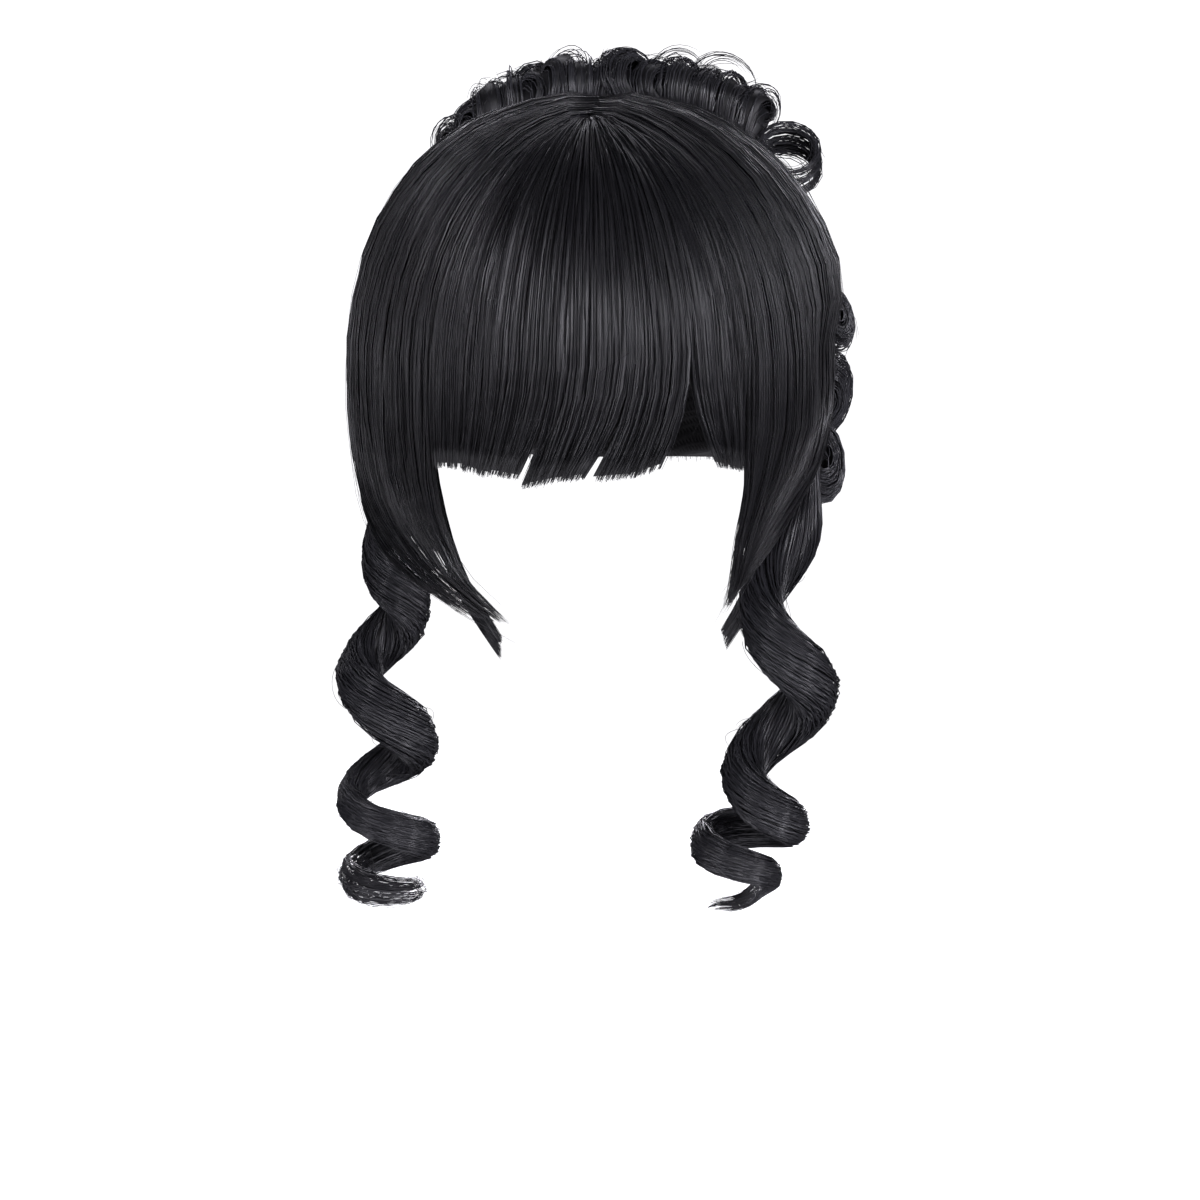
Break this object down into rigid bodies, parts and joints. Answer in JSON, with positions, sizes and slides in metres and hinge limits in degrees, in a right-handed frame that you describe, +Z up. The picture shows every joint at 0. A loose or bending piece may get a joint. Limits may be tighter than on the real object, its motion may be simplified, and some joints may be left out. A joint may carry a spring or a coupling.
{
  "type": "cosplay wig",
  "caption": "Black fibre costume wig on a hollow stretch cap, with blunt fringe, face-framing side locks, hanging ringlets and a curled updo at the back.",
  "frame": {"origin": "inside top of the cap, where the crown of the wearer's head bears", "axes": "+Z up, -Y out of the wearer's face, +X to the wearer's left"},
  "size_m": [0.2125, 0.2359, 0.3483],
  "materials": {
    "fibre": "satin black synthetic fibre, combed into locks",
    "cap_net": "matt black stretch net with sewn weft rows"
  },
  "bodies": {
    "root": {"wig_cap": "cap_net", "bangs": "fibre", "back_hair": "fibre", "side_hair_right": "fibre", "side_hair_left": "fibre", "sidelock_right": "fibre", "sidelock_left": "fibre", "nape_lock_right": "fibre", "nape_lock_left": "fibre", "ringlet_right": "fibre", "ringlet_left": "fibre", "curl_weft_1": "fibre", "curl_weft_2": "fibre", "curl_weft_3": "fibre", "curl_weft_4": "fibre"}
  },
  "joints": []
}
